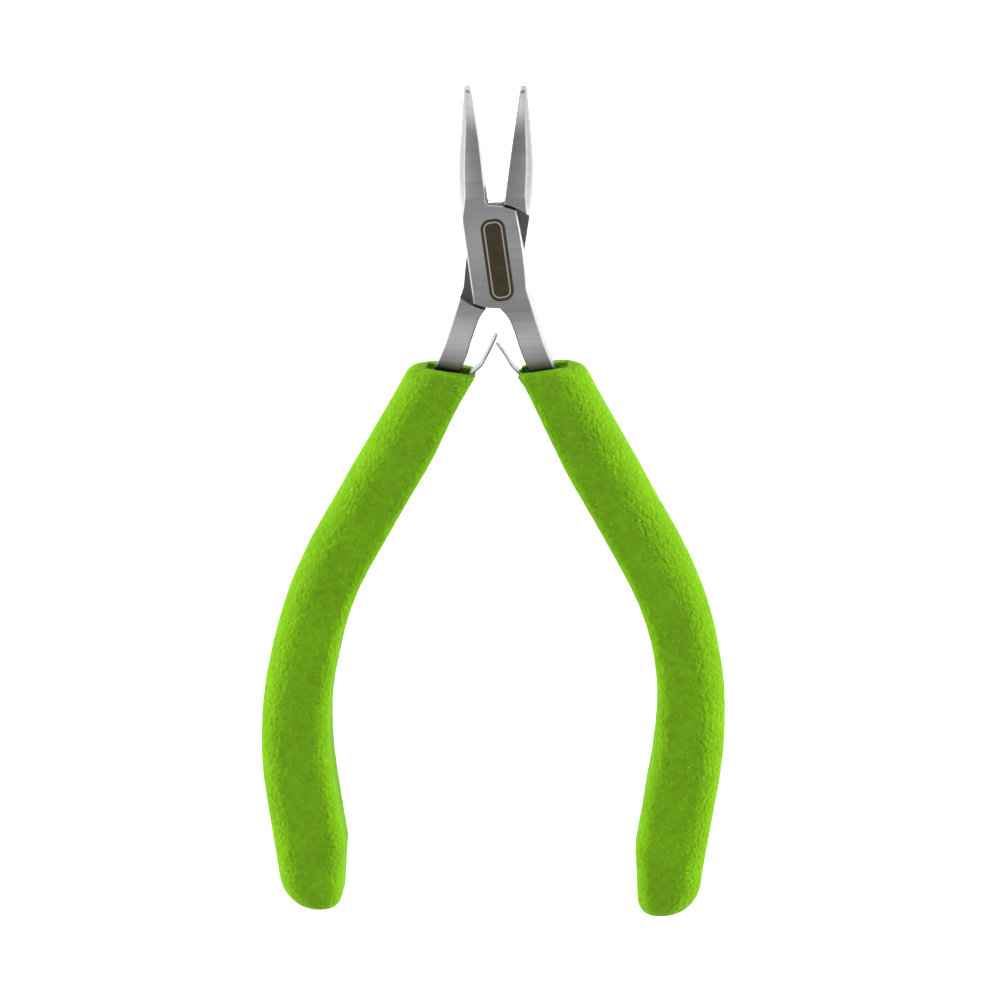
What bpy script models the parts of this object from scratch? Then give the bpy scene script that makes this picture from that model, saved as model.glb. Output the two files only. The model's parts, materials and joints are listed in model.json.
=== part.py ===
"""Bent-nose lap-joint pliers with foam grips and a double leaf spring.

The pliers lie flat on the undersides of the grips: +Y towards the jaw tips, +Z up.
Each lever is modelled closed, with the pivot axis at its origin and the lap plane at z = 0,
and is then turned open by half of the opening angle. Lengths in this file are millimetres
and angles are degrees; MM turns them into Blender's metres.
"""
import math

import bmesh
import bpy
from mathutils import Vector

MM = 0.001

# Where the assembly stands
PIVOT_Y = 43.4          # pivot axis ahead of the middle of the overall length
MID_Z = 6.5             # lap plane above the surface that the grips rest on
OPEN_HALF = 8.3         # each lever is open by this much at rest

# Lap joint
JOINT_T = 7.2           # full thickness of a lever at the joint
LAP_GAP = 0.15          # between the two half-thickness plates
PLATE_R = 8.8           # round ends of each half-thickness plate
SHOULDER_R = 9.2        # round shoulder that the other lever's plate turns in
PLATE_HALF_W = 4.72
PLATE_BULGE = 0.28      # the plate's outer edge swells this much near the pivot
WAIST_Y = -6.2          # narrowest place of the outer edge, above the arm
WAIST_X = 4.66
THROAT_R = 1.0
EDGE_CHAMFER = 0.25

# Jaw
JAW_TOP_Y = 29.2
JAW_ROUND_Y = 8.0       # the outer curve starts here
JAW_CURVE_R = 50.0
JAW_STRAIGHT_Y = 18.5   # and runs straight from here
JAW_TAPER = 0.232       # sideways taper of the straight part
JAW_BULGE = 1.16        # how far the half-round back stands out
JAW_BULGE_SHARE = 0.29  # and its greatest share of the jaw's width
JAW_BULGE_FROM_Y = 6.5  # the back starts to round here
JAW_BULGE_OVER = 5.5    # and is fully round after this length
FACE_RELIEF = 0.25      # the gripping faces part by this much at the throat
FACE_GAP = 0.05         # and by this much at the tips
BEND_START_Y = 17.0
BEND_R = 19.5
BEND_ANGLE = 38.0
TAPER_START_Y = 13.0    # the jaw gets thinner from here on
TIP_T = 1.9

# Arm and tang, as distances from the lever's own centre line
ARM_END_Y = -16.0       # the arm's own edges end here and the tang curves into the grip
ARM_OUTER_EDGE = [(WAIST_X, WAIST_Y), (5.0, -8.3), (5.56, -12.0), (6.25, ARM_END_Y)]
ARM_INNER_EDGE = [(0.2, -9.35), (0.56, -10.0), (0.92, -11.0), (1.36, -13.0), (1.93, ARM_END_Y)]
CROTCH_X = -0.35        # the plate's lower round end stops here
FRONT_WIDER = 0.25      # the front arm is this much wider on its inner side
REAR_WIDER = -0.2       # and the rear arm this much narrower
ARM_T = 5.0             # thickness in the grip
ARM_THIN_Y = -20.0      # reached here
TANG_W = 4.4
TANG_END_W = 3.6
TANG_JOIN_Y = -50.0     # from here on the tang follows the middle of the grip
TANG_END = 84.0         # distance from the grip's mouth along its middle

# Grip: its middle line is a straight run, an arc and a straight run
GRIP_TOP_Y = -21.0
GRIP_TOP_X = 6.03
GRIP_LEAN = 21.3
GRIP_RUN = 35.0
GRIP_R = 63.6
GRIP_TURN = 38.6
GRIP_TAIL = 24.4
GRIP_DEPTH = 13.0
GRIP_W_TOP = 11.5
GRIP_W_LOW = 12.5
GRIP_SWELL_FROM = 51.0  # the grip widens from here, as a distance from its mouth
GRIP_SWELL_OVER = 30.0
GRIP_CORNER = 3.6
GRIP_END_ROUND = 6.5    # length over which the outer side rounds off at the bottom
GRIP_END_IN = 5.6       # and how far it comes in
GRIP_HEEL = 11.0        # the inner side tapers over this last stretch
GRIP_HEEL_IN = 2.4
GRIP_CAP = 2.0          # the last stretch also rounds off on its faces
GRIP_CAP_IN_Z = 1.6
GRIP_CAP_IN_X = 1.0
GRIP_SQUARE_OVER = 16.0  # sections turn from square with the lever to square with the grip
RIM_ROUND = 0.6
POCKET_GAP = 0.3
MOUTH_OUTLINE = [(-0.8, -19.0), (-0.8, -21.4), (1.75, -24.0), (3.6, -28.6), (8.2, -28.6), (9.3, -19.0)]
MOUTH_GAP = 0.5

# Leaf springs, in the closed lever's frame with the arm at +X
LEAF_T = 0.3
LEAF_W_ROOT = 4.2
LEAF_W_TIP = 2.0
LEAF_ROOT = (4.75, -26.6)
LEAF_MOUTH = (1.0, -20.95)
LEAF_KNEE = (-0.15, -19.0)
SHORT_LEAF_TIP = ((-1.8, -15.8), (-2.1, -15.05))
LONG_LEAF_TIP = ((-1.78, -15.3), (-2.22, -13.35))
SEAT_W = 1.3
SEAT_PAST_ROOT = 0.7    # the notch runs this much deeper than the leaf's root
SEAT_OPEN = 2.0         # and this far towards the mouth

# Pivot screw, entered from the back
SHANK_R = 2.2
RUNNING_GAP = 0.08
THREAD_GAP = 0.15
HEAD_R = 3.3
HEAD_T = 1.2
HEAD_SINK = 0.25        # the head's face lies this far under the back of the lever
HEAD_RIM = 0.2
THREAD_DEPTH = 2.2
SLOT_W = 0.9
SLOT_DEPTH = 0.7
ROUND_SEGMENTS = 48


# ---------------------------------------------------------------- scene and materials
def clear_scene():
    for obj in list(bpy.data.objects):
        bpy.data.objects.remove(obj, do_unlink=True)


def make_material(name, colour, roughness, metallic):
    material = bpy.data.materials.new(name)
    material.use_nodes = True
    shader = material.node_tree.nodes["Principled BSDF"]
    shader.inputs["Base Color"].default_value = (*colour, 1.0)
    shader.inputs["Roughness"].default_value = roughness
    shader.inputs["Metallic"].default_value = metallic
    return material


def add_empty(name, location, turn=0.0, parent=None):
    empty = bpy.data.objects.new(name, None)
    empty.location = Vector(location) * MM
    empty.rotation_euler = (0.0, 0.0, math.radians(turn))
    empty.parent = parent
    bpy.context.collection.objects.link(empty)
    return empty


def add_mesh(name, bm, material, parent=None, cutter=False):
    bmesh.ops.recalc_face_normals(bm, faces=bm.faces)
    mesh = bpy.data.meshes.new(name)
    bm.to_mesh(mesh)
    bm.free()
    obj = bpy.data.objects.new(name, mesh)
    obj.parent = parent
    bpy.context.collection.objects.link(obj)
    if cutter:
        obj.hide_render = True
        obj.display_type = "WIRE"
    else:
        mesh.materials.append(material)
    return obj


def add_bevel(obj, width, segments=2, angle=32.0):
    bevel = obj.modifiers.new("edges", "BEVEL")
    bevel.width = width * MM
    bevel.segments = segments
    bevel.limit_method = "ANGLE"
    bevel.angle_limit = math.radians(angle)


def add_cut(obj, cutter, solver="EXACT"):
    cut = obj.modifiers.new("cut " + cutter.name, "BOOLEAN")
    cut.operation = "DIFFERENCE"
    cut.solver = solver
    cut.object = cutter


# ---------------------------------------------------------------- mesh builders
def loft(rings):
    """A closed solid through rings of points, with flat ends."""
    bm = bmesh.new()
    made = [[bm.verts.new(Vector(point) * MM) for point in ring] for ring in rings]
    count = len(rings[0])
    for low, high in zip(made, made[1:]):
        for i in range(count):
            j = (i + 1) % count
            bm.faces.new((low[i], low[j], high[j], high[i]))
    bm.faces.new(made[0])
    bm.faces.new(made[-1])
    return bm


def prism(outline, low, high):
    """An outline in the XY plane, run from one height to another."""
    return loft([[(x, y, low) for x, y in outline], [(x, y, high) for x, y in outline]])


def circle(radius, count=ROUND_SEGMENTS, centre=(0.0, 0.0)):
    turn = 2.0 * math.pi / count
    return [
        (centre[0] + radius * math.cos(turn * i), centre[1] + radius * math.sin(turn * i))
        for i in range(count)
    ]


def turned(profile, count=ROUND_SEGMENTS):
    """A solid of revolution about Z from (radius, z) pairs, closed by flat ends."""
    return loft([[(x, y, z) for x, y in circle(radius, count)] for radius, z in profile])


def steps(start, end, count):
    return [start + (end - start) * i / count for i in range(count + 1)]


def along(points, y):
    """x at a given y on straight runs between points listed from high y to low y."""
    for (x0, y0), (x1, y1) in zip(points, points[1:]):
        if y1 <= y <= y0:
            return x0 + (x1 - x0) * (y0 - y) / (y0 - y1)
    return points[0][0] if y > points[0][1] else points[-1][0]


def smooth_step(value):
    value = min(1.0, max(0.0, value))
    return value * value * (3.0 - 2.0 * value)


def mirrored(bm, side):
    """The same shape for a lever whose arm is at side * X."""
    if side < 0:
        bmesh.ops.scale(bm, vec=(-1.0, 1.0, 1.0), verts=bm.verts)
    return bm


# ---------------------------------------------------------------- grip middle line
def grip_middle(distance):
    """Point and lean (radians) of the grip's middle line, a distance below its mouth."""
    lean = math.radians(GRIP_LEAN)
    turn = math.radians(GRIP_TURN)
    x, y = GRIP_TOP_X, GRIP_TOP_Y
    run = min(distance, GRIP_RUN)
    x += run * math.sin(lean)
    y -= run * math.cos(lean)
    if distance <= GRIP_RUN:
        return x, y, lean
    swept = min((distance - GRIP_RUN) / GRIP_R, turn)
    after = lean - swept
    x += GRIP_R * (math.cos(after) - math.cos(lean))
    y -= GRIP_R * (math.sin(lean) - math.sin(after))
    rest = max(0.0, distance - GRIP_RUN - GRIP_R * turn)
    return x + rest * math.sin(after), y - rest * math.cos(after), after


GRIP_LENGTH = GRIP_RUN + GRIP_R * math.radians(GRIP_TURN) + GRIP_TAIL


# ---------------------------------------------------------------- lever outline
def jaw_outer(y):
    """Distance of the jaw's outer edge from the centre line."""
    bent = min(y, JAW_STRAIGHT_Y) - JAW_ROUND_Y
    edge = PLATE_HALF_W - max(0.0, bent) ** 2 / (2.0 * JAW_CURVE_R)
    return edge - JAW_TAPER * max(0.0, y - JAW_STRAIGHT_Y)


def jaw_bulge(y):
    """How far the half-round back stands out beyond the flat front."""
    full = min(JAW_BULGE, JAW_BULGE_SHARE * jaw_outer(y))
    return full * smooth_step((y - JAW_BULGE_FROM_Y) / JAW_BULGE_OVER)


def lever_thickness(y):
    if y > TAPER_START_Y:
        share = (y - TAPER_START_Y) / (JAW_TOP_Y - TAPER_START_Y)
        return JOINT_T + (TIP_T - JOINT_T) * share
    if y < -SHOULDER_R:
        share = min(1.0, (-SHOULDER_R - y) / (-SHOULDER_R - ARM_THIN_Y))
        return JOINT_T + (ARM_T - JOINT_T) * smooth_step(share)
    return JOINT_T


def tang_ring(distance):
    """Left and right edge points of the tang where it follows the grip's middle."""
    x, y, lean = grip_middle(distance)
    share = distance / TANG_END
    half = 0.5 * (TANG_W + (TANG_END_W - TANG_W) * share)
    dx, dy = half * math.cos(lean), half * math.sin(lean)
    return (x - dx, y - dy), (x + dx, y + dy)


def blend_edge(start, start_slope, end, end_slope, count):
    """A smooth edge between two points whose slopes (x per unit of falling y) are given."""
    drop = start[1] - end[1]
    points = []
    for i in range(1, count):
        t = i / count
        h00, h10 = 2 * t**3 - 3 * t**2 + 1, t**3 - 2 * t**2 + t
        h01, h11 = -2 * t**3 + 3 * t**2, t**3 - t**2
        x = h00 * start[0] + h10 * drop * start_slope + h01 * end[0] + h11 * drop * end_slope
        points.append((x, start[1] - t * drop))
    return points


def lever_edges(extra):
    """(left point, right point) pairs from the jaw's root down to the end of the tang.

    extra widens the arm inwards.
    """
    pairs = []
    top_y = THROAT_R + PLATE_R
    corner_y = math.sqrt(PLATE_R**2 - PLATE_HALF_W**2)
    # throat fillet, then the round end of the plate
    for angle in steps(0.0, 90.0, 5):
        y = top_y - THROAT_R * math.sin(math.radians(angle)) + 0.02
        x = THROAT_R * (1.0 - math.cos(math.radians(angle))) - FACE_RELIEF
        pairs.append(((-jaw_outer(y), y), (x, y)))
    start = math.degrees(math.acos((THROAT_R - FACE_RELIEF) / PLATE_R))
    end = math.degrees(math.acos(PLATE_HALF_W / PLATE_R))
    for angle in steps(start, end, 10)[1:]:
        x = PLATE_R * math.cos(math.radians(angle))
        y = PLATE_R * math.sin(math.radians(angle))
        pairs.append(((-jaw_outer(y), y), (x, y)))
    # straight sides of the plate, the outer one swelling a little
    for y in steps(corner_y, WAIST_Y, 12)[1:]:
        share = (corner_y - y) / (corner_y - WAIST_Y)
        swell = PLATE_BULGE * math.sin(math.pi * share)
        side = PLATE_HALF_W + (WAIST_X - PLATE_HALF_W) * share
        pairs.append(((-PLATE_HALF_W, y), (side + swell, y)))
    outer = ARM_OUTER_EDGE
    pairs.append(((-PLATE_HALF_W, -corner_y), (along(outer, -corner_y), -corner_y)))
    # lower round end of the plate, up to the crotch
    crotch_x = CROTCH_X - extra
    low_start = math.degrees(math.acos(PLATE_HALF_W / PLATE_R))
    low_end = math.degrees(math.acos(-crotch_x / PLATE_R))
    for angle in steps(low_start, low_end, 10)[1:]:
        x = -PLATE_R * math.cos(math.radians(angle))
        y = -PLATE_R * math.sin(math.radians(angle))
        pairs.append(((x, y), (along(outer, y), y)))
    # crotch fillet into the arm's inner edge
    inner = [(x - extra, y) for x, y in ARM_INNER_EDGE]
    first = (crotch_x, -PLATE_R * math.sin(math.radians(low_end)))
    for x, y in blend_edge(first, 2.2, inner[0], 0.7, 4) + inner:
        pairs.append(((x, y), (along(outer, y), y)))
    # smooth run into the middle of the grip, then along it
    joined = next(d for d in steps(20.0, 60.0, 400) if grip_middle(d)[1] <= TANG_JOIN_Y)
    left_end, right_end = tang_ring(joined)
    lean = math.tan(math.radians(GRIP_LEAN))
    left = blend_edge(inner[-1], 0.19, left_end, lean, 14)
    right = blend_edge(outer[-1], 0.22, right_end, lean, 14)
    pairs += list(zip(left, right))
    for distance in steps(joined, TANG_END, 18):
        pairs.append(tang_ring(distance))
    return pairs


# ---------------------------------------------------------------- lever
def lever_ring(left, right, height, tilt, bulge, thickness):
    """One cross-section: flat front, rear and right side, bulging left side."""
    half = 0.5 * thickness
    lift, slant = math.cos(tilt), -math.sin(tilt)
    crisp = math.radians(68.0)
    ring = []
    for angle in steps(1.0, -1.0, 8):
        across = math.sin(angle * crisp) / math.sin(crisp)
        out = (math.cos(angle * crisp) - math.cos(crisp)) / (1.0 - math.cos(crisp))
        x = left[0] + bulge * (1.0 - out)
        ring.append((x, left[1] + slant * half * across, height + lift * half * across))
    for across in (-1.0, 1.0):
        ring.append((right[0], right[1] + slant * half * across, height + lift * half * across))
    return ring


def jaw_rings():
    """Rings from the bent tip down to the throat."""
    rings = []
    arc_top = math.radians(BEND_ANGLE)
    for tilt in steps(arc_top, 0.0, 12):
        y = BEND_START_Y + BEND_R * math.sin(tilt)
        height = BEND_R * (1.0 - math.cos(tilt))
        rings.append(jaw_ring(y, height, tilt))
    for y in steps(BEND_START_Y, PLATE_R + THROAT_R + 0.3, 6)[1:]:
        rings.append(jaw_ring(y, 0.0, 0.0))
    return rings


def jaw_ring(y, height, tilt):
    relief = FACE_GAP + (FACE_RELIEF - FACE_GAP) * max(0.0, 20.0 - y) / 10.5
    return lever_ring((-jaw_outer(y), y), (-relief, y), height, tilt, jaw_bulge(y), lever_thickness(y))


def lever_blank(extra):
    rings = jaw_rings()
    for left, right in lever_edges(extra):
        y = 0.5 * (left[1] + right[1])
        rings.append(lever_ring(left, right, 0.0, 0.0, jaw_bulge(y), lever_thickness(y)))
    return loft(rings)


def lap_cutter(half):
    """The round recess that takes away one half of the lever's thickness at the joint."""
    inner, outer = 0.5 * LAP_GAP, JOINT_T
    low, high = (-outer, inner) if half > 0 else (-inner, outer)
    return prism(circle(SHOULDER_R, 96), low, high)


def seat_cutter():
    """The notch in the arm's inner edge that holds the root of the leaf spring."""
    root, mouth = Vector(LEAF_ROOT), Vector(LEAF_MOUTH)
    inward = (root - mouth).normalized()
    across = Vector((-inward.y, inward.x)) * 0.5 * SEAT_W
    ends = (root - inward * SEAT_OPEN, root + inward * SEAT_PAST_ROOT)
    corners = (ends[0] + across, ends[1] + across, ends[1] - across, ends[0] - across)
    return prism([tuple(corner) for corner in corners], -ARM_T, ARM_T)


def make_lever(name, side, half, extra, material, frame):
    lever = add_mesh(name, mirrored(lever_blank(extra), side), material, frame)
    add_bevel(lever, EDGE_CHAMFER)
    cutters = [
        add_mesh(name + " lap", lap_cutter(half), None, frame, cutter=True),
        add_mesh(name + " seat", mirrored(seat_cutter(), side), None, frame, cutter=True),
        add_mesh(name + " bore", bore_cutter(half), None, frame, cutter=True),
    ]
    for cutter in cutters:
        add_cut(lever, cutter, solver="MANIFOLD")  # EXACT loses the bevelled blank
    return lever


# ---------------------------------------------------------------- pivot screw
def bore_cutter(half):
    """Blind threaded hole in the front plate, stepped clearance hole in the rear one."""
    if half > 0:
        return turned([(SHANK_R + THREAD_GAP, -1.0), (SHANK_R + THREAD_GAP, THREAD_DEPTH + 0.3)])
    floor = -0.5 * JOINT_T + HEAD_SINK + HEAD_T + LAP_GAP
    bore, sink = SHANK_R + RUNNING_GAP, HEAD_R + LAP_GAP
    return turned([(sink, -JOINT_T), (sink, floor), (bore, floor), (bore, 1.0)])


def make_screw(material, frame):
    face = -0.5 * JOINT_T + HEAD_SINK
    profile = [
        (HEAD_R - HEAD_RIM, face),
        (HEAD_R, face + HEAD_RIM),
        (HEAD_R, face + HEAD_T),
        (SHANK_R, face + HEAD_T),
        (SHANK_R, THREAD_DEPTH - HEAD_RIM),
        (SHANK_R - HEAD_RIM, THREAD_DEPTH),
    ]
    screw = add_mesh("pivot_screw", turned(profile), material, frame)
    slot_half = 0.5 * SLOT_W
    outline = [(-5.0, -slot_half), (5.0, -slot_half), (5.0, slot_half), (-5.0, slot_half)]
    slot = add_mesh("screw slot", prism(outline, face - 1.0, face + SLOT_DEPTH), None, frame, cutter=True)
    add_cut(screw, slot)
    return screw


# ---------------------------------------------------------------- leaf springs
def leaf_path(tip_points):
    """Points from the root to the tip, on a smooth curve through the leaf's own points."""
    points = [Vector(p) for p in (LEAF_ROOT, LEAF_MOUTH, LEAF_KNEE, *tip_points)]
    ends = [2 * points[0] - points[1], *points, 2 * points[-1] - points[-2]]
    path = []
    for p0, p1, p2, p3 in zip(ends, ends[1:], ends[2:], ends[3:]):
        for t in (0.0, 0.25, 0.5, 0.75):
            path.append(0.5 * (2 * p1 + (p2 - p0) * t + (2 * p0 - 5 * p1 + 4 * p2 - p3) * t**2
                               + (3 * p1 - p0 - 3 * p2 + p3) * t**3))
    return path + [points[-1]]


def make_leaf(name, tip_points, side, material, frame):
    """A tapered strip whose object origin is at its root, on the joint axis."""
    path = leaf_path(tip_points)
    last = len(path) - 1
    rings = []
    for i, point in enumerate(path):
        run = (path[min(i + 1, last)] - path[max(i - 1, 0)]).normalized()
        across = Vector((-run.y, run.x)) * 0.5 * LEAF_T
        width = LEAF_W_ROOT + (LEAF_W_TIP - LEAF_W_ROOT) * smooth_step(i / last)
        a, b = point - path[0] + across, point - path[0] - across
        rings.append([(a.x, a.y, -width / 2), (b.x, b.y, -width / 2),
                      (b.x, b.y, width / 2), (a.x, a.y, width / 2)])
    root = add_empty(name + " axis", (side * path[0].x, path[0].y, 0.0), parent=frame)
    return add_mesh(name, mirrored(loft(rings), side), material, root)


# ---------------------------------------------------------------- grips
def rounded_rectangle(left, right, half_depth, corner):
    """Points (offset, height) around a rectangle with rounded corners."""
    corner = min(corner, 0.98 * half_depth, 0.49 * (right - left))
    right_x = right - corner
    left_x = left + corner
    high = half_depth - corner
    points = []
    corners = ((right_x, high, 0), (left_x, high, 90), (left_x, -high, 180), (right_x, -high, 270))
    for cx, cz, start in corners:
        for angle in steps(start, start + 90, 5):
            turn = math.radians(angle)
            points.append((cx + corner * math.cos(turn), cz + corner * math.sin(turn)))
    return points


def grip_ring(distance, inset=0.0):
    """One ring of the grip. The mouth is cut square to the lever, not to the grip."""
    x, y, lean = grip_middle(distance)
    swell = smooth_step((distance - GRIP_SWELL_FROM) / GRIP_SWELL_OVER)
    half = 0.5 * (GRIP_W_TOP + (GRIP_W_LOW - GRIP_W_TOP) * swell)
    left, right = -half, half
    depth = 0.5 * GRIP_DEPTH
    to_end = GRIP_LENGTH - distance
    if to_end < GRIP_END_ROUND:
        share = 1.0 - to_end / GRIP_END_ROUND
        right -= GRIP_END_IN * (1.0 - math.sqrt(max(0.0, 1.0 - share**2)))
    if to_end < GRIP_HEEL:
        left += GRIP_HEEL_IN * (1.0 - to_end / GRIP_HEEL)
    if to_end < GRIP_CAP:
        round_off = 1.0 - math.sqrt(max(0.0, 1.0 - (1.0 - to_end / GRIP_CAP) ** 2))
        depth -= GRIP_CAP_IN_Z * round_off
        left += GRIP_CAP_IN_X * round_off
    square = math.radians(GRIP_LEAN) * (1.0 - smooth_step(distance / GRIP_SQUARE_OVER))
    stretch = 1.0 / math.cos(square)
    line = lean - square
    ring = []
    for offset, height in rounded_rectangle(left + inset, right - inset, depth - inset, GRIP_CORNER):
        reach = offset * stretch
        ring.append((x + reach * math.cos(line), y + reach * math.sin(line), height))
    return ring


def grip_blank():
    rings = [grip_ring(0.0, RIM_ROUND), grip_ring(0.2, 0.25 * RIM_ROUND), grip_ring(RIM_ROUND)]
    rings += [grip_ring(d) for d in steps(2.0, GRIP_LENGTH - GRIP_HEEL, 32)]
    rings += [grip_ring(GRIP_LENGTH - d) for d in (8.5, 6.5, 5.0, 3.5, 2.4, 1.5, 0.8, 0.3, 0.05)]
    return loft(rings)


def pocket_cutter(extra):
    """The hollow for the tang: the tang's own outline with a gap all round."""
    rings = []
    half = 0.5 * ARM_T + POCKET_GAP
    pairs = [pair for pair in lever_edges(extra) if pair[0][1] < ARM_END_Y]
    tip_left, tip_right = pairs[-1]
    middle = Vector(((tip_left[0] + tip_right[0]) / 2, (tip_left[1] + tip_right[1]) / 2))
    above = Vector(((pairs[-2][0][0] + pairs[-2][1][0]) / 2, (pairs[-2][0][1] + pairs[-2][1][1]) / 2))
    past = (middle - above).normalized() * POCKET_GAP
    pairs[-1] = tuple((x + past.x, y + past.y) for x, y in (tip_left, tip_right))
    for (lx, ly), (rx, ry) in pairs:
        out = Vector((rx - lx, ry - ly)).normalized() * POCKET_GAP
        rings.append([(lx - out.x, ly - out.y, -half), (rx + out.x, ry + out.y, -half),
                      (rx + out.x, ry + out.y, half), (lx - out.x, ly - out.y, half)])
    return loft(rings)


def mouth_cutter():
    """The wider mouth of the hollow, with room for the leaf spring on the inner side."""
    half = 0.5 * ARM_T + MOUTH_GAP
    return prism(MOUTH_OUTLINE, -half, half)


def make_grip(name, side, extra, material, frame):
    grip = add_mesh(name, mirrored(grip_blank(), side), material, frame)
    for label, bm in (("pocket", pocket_cutter(extra)), ("mouth", mouth_cutter())):
        cutter = add_mesh(name + " " + label, mirrored(bm, side), None, frame, cutter=True)
        add_cut(grip, cutter)
    grip.data.shade_smooth()
    grip.data.set_sharp_from_angle(angle=math.radians(40.0))
    return grip


# ---------------------------------------------------------------- assembly
def main():
    clear_scene()
    steel = make_material("brushed_steel", (0.52, 0.52, 0.53), 0.32, 1.0)
    spring_steel = make_material("spring_steel", (0.42, 0.42, 0.43), 0.28, 1.0)
    screw_steel = make_material("screw_steel", (0.45, 0.45, 0.46), 0.35, 1.0)
    foam = make_material("green_foam", (0.17, 0.52, 0.012), 0.85, 0.0)

    pivot = add_empty("pivot axis", (0.0, PIVOT_Y, MID_Z))
    front = add_empty("front lever frame", (0.0, 0.0, 0.0), OPEN_HALF, pivot)
    rear = add_empty("rear lever frame", (0.0, 0.0, 0.0), -OPEN_HALF, pivot)

    make_lever("front_lever", 1, 1, FRONT_WIDER, steel, front)
    make_lever("rear_lever", -1, -1, REAR_WIDER, steel, rear)
    make_screw(screw_steel, front)
    make_leaf("right_leaf_spring", SHORT_LEAF_TIP, 1, spring_steel, front)
    make_leaf("left_leaf_spring", LONG_LEAF_TIP, -1, spring_steel, rear)
    make_grip("right_grip", 1, FRONT_WIDER, foam, front)
    make_grip("left_grip", -1, REAR_WIDER, foam, rear)


main()
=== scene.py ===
"""Looks of the bent-nose pliers: steel, leaf springs, etched panel and green foam grips.

Lengths are millimetres in a lever's own closed frame (pivot axis at the origin, lap plane at
z = 0, arm towards +X) until place() turns them into the row frame's metres.
"""

import json
import math

import bmesh
import bpy
import numpy as np
from mathutils import Matrix, Vector, noise


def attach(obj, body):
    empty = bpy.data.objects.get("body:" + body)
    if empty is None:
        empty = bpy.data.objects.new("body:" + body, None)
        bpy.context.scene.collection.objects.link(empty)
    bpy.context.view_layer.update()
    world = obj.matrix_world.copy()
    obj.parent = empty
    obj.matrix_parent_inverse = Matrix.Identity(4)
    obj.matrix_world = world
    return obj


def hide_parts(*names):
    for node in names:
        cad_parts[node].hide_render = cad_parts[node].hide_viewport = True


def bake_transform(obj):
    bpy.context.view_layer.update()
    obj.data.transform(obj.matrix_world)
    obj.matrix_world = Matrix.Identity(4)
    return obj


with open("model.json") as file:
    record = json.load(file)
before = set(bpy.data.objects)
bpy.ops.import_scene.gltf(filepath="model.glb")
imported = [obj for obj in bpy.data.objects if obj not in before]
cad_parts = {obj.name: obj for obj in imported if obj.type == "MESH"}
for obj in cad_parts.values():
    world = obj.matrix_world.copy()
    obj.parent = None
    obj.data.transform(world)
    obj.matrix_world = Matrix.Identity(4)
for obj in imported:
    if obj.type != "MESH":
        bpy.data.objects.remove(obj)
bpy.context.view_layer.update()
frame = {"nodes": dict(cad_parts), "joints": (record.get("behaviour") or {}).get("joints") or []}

MM = 0.001
PIVOT = Vector(next(j["pos_m"] for j in frame["joints"] if j["name"] == "pivot"))
OPEN_HALF = math.radians(8.3)   # each lever is open by this much at rest

# Lap joint and jaw, as in the frame
JOINT_T = 7.2
LAP_GAP = 0.15
PLATE_R = 8.8
SHOULDER_R = 9.2
PLATE_HALF_W = 4.72
PLATE_BULGE = 0.28
WAIST_X = 4.66
WAIST_Y = -6.2
THROAT_R = 1.0
JAW_TOP_Y = 29.2
JAW_ROUND_Y = 8.0
JAW_CURVE_R = 50.0
JAW_STRAIGHT_Y = 18.5
JAW_TAPER = 0.232
JAW_BULGE = 1.16
JAW_BULGE_SHARE = 0.29
JAW_BULGE_FROM_Y = 6.5
JAW_BULGE_OVER = 5.5
FACE_RELIEF = 0.25          # the gripping faces part by this much at the throat
FACE_GAP = 0.05             # and by this much at the tips
FACE_CLOSE_Y = 20.0         # they run this close together from here on
FACE_RELIEF_OVER = 10.5
BEND_START_Y = 17.0
BEND_R = 19.5
BEND_ANGLE = math.radians(38.0)
TAPER_START_Y = 13.0
TIP_T = 1.9
TIP_NOSE = (    # (ahead of the last section, share drawn in towards its middle)
    (0.55, 0.68), (0.48, 0.48), (0.33, 0.28), (0.15, 0.11),
)
JAW_CHAMFER = 0.07
BODY_CHAMFER = 0.20
CHAMFER_FROM_Y = 8.5        # the bevel gets finer from here towards the jaw
CHAMFER_OVER = 3.0
BACK_ARC = math.radians(68.0)   # half of the arc that rounds the jaw's back

# Arm and tang; an edge is a list of (x, y) points, and a slope is x per unit of falling y
CROTCH_X = -0.35            # the plate's lower round end stops here
CROTCH_SLOPE = 2.2
ARM_TOP_SLOPE = 0.7
ARM_T = 5.0
ARM_THIN_Y = -20.0
ARM_END_Y = -16.0
ARM_OUTER_EDGE = ((WAIST_X, WAIST_Y), (5.0, -8.3), (5.56, -12.0), (6.25, ARM_END_Y))
FRONT_INNER_EDGE = ((-0.03, -9.35), (0.45, -10.0), (0.94, -11.0), (1.46, -13.0), (1.93, ARM_END_Y))
REAR_INNER_EDGE = ((0.40, -9.35), (0.76, -10.0), (1.12, -11.0), (1.56, -13.0), (2.10, ARM_END_Y))
FRONT_WIDER = 0.25          # the front arm is this much wider at the crotch
REAR_WIDER = -0.2           # and the rear arm this much narrower
TANG_INNER_SLOPE = 0.19
TANG_OUTER_SLOPE = 0.22
TANG_W = 4.4
TANG_END_W = 3.6
TANG_JOIN_Y = -50.0
TANG_END = 84.0

# Grip middle line: a straight run, an arc and a straight run
GRIP_TOP_X = 5.78
GRIP_TOP_Y = -20.35
GRIP_LEAN = math.radians(21.3)
GRIP_RUN = 35.7
GRIP_R = 63.6
GRIP_TURN = math.radians(38.6)
GRIP_TAIL = 24.4
GRIP_LENGTH = GRIP_RUN + GRIP_R * GRIP_TURN + GRIP_TAIL
GRIP_DEPTH = 13.0
GRIP_W_TOP = 11.5
GRIP_W_LOW = 12.5
GRIP_SWELL_FROM = 51.0
GRIP_SWELL_OVER = 30.0

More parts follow.
